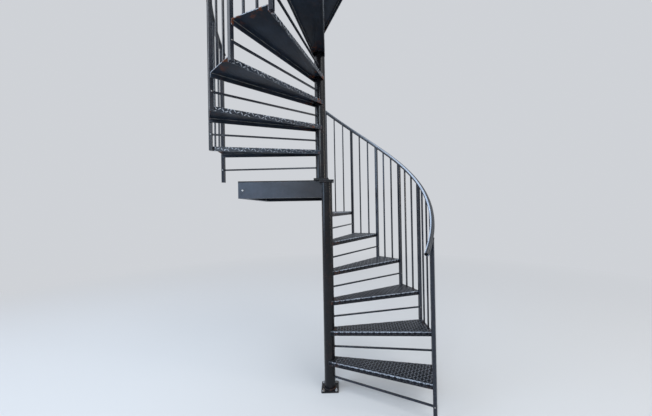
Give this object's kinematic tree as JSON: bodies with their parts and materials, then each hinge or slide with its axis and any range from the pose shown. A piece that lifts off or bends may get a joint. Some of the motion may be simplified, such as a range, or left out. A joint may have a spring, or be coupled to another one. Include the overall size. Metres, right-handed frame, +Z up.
{
  "type": "spiral staircase",
  "caption": "Two-flight steel spiral staircase: offset column pipes, bent wedge treads, open risers with one bar, round handrails, thin balusters and two landings.",
  "frame": {"origin": "middle of the underside of the lower column's base plate, on the ground", "axes": "+Z up along the column; +X towards the open side, away from the side wall; +Y towards the back wall; the stair climbs anticlockwise seen from above"},
  "size_m": [1.7282, 1.7046, 5.4562],
  "materials": {
    "tread_plate": "worn black paint on patterned plate, satin",
    "landing_plate": "worn black paint on patterned plate, satin",
    "channel_steel": "black paint, satin",
    "column_steel": "black paint, satin",
    "bar_steel": "black paint, satin",
    "handrail_steel": "black paint polished by hands, semi-gloss"
  },
  "bodies": {
    "root": {"base_plate": "column_steel", "lower_column": "column_steel", "column_cap_plate": "column_steel", "upper_base_plate": "column_steel", "upper_column": "column_steel", "column_cap": "column_steel", "lower_tread_1": "tread_plate", "lower_tread_2": "tread_plate", "lower_tread_3": "tread_plate", "lower_tread_4": "tread_plate", "lower_tread_5": "tread_plate", "lower_tread_6": "tread_plate", "landing_frame": "channel_steel", "wall_clips": "channel_steel", "landing_plate": "landing_plate", "upper_tread_1": "tread_plate", "upper_tread_2": "tread_plate", "upper_tread_3": "tread_plate", "upper_tread_4": "tread_plate", "upper_tread_5": "tread_plate", "upper_tread_6": "tread_plate", "upper_tread_7": "tread_plate", "upper_tread_8": "tread_plate", "upper_tread_9": "tread_plate", "upper_tread_10": "tread_plate", "upper_tread_11": "tread_plate", "upper_tread_12": "tread_plate", "top_landing_frame": "channel_steel", "top_landing_plate": "landing_plate", "lower_posts": "bar_steel", "lower_balusters": "bar_steel", "lower_riser_bars": "bar_steel", "lower_handrail": "handrail_steel", "upper_posts": "bar_steel", "upper_balusters": "bar_steel", "upper_riser_bars": "bar_steel", "upper_handrail": "handrail_steel", "top_guard_posts": "bar_steel", "top_guard_balusters": "bar_steel", "top_guard_rail": "handrail_steel"}
  },
  "joints": []
}
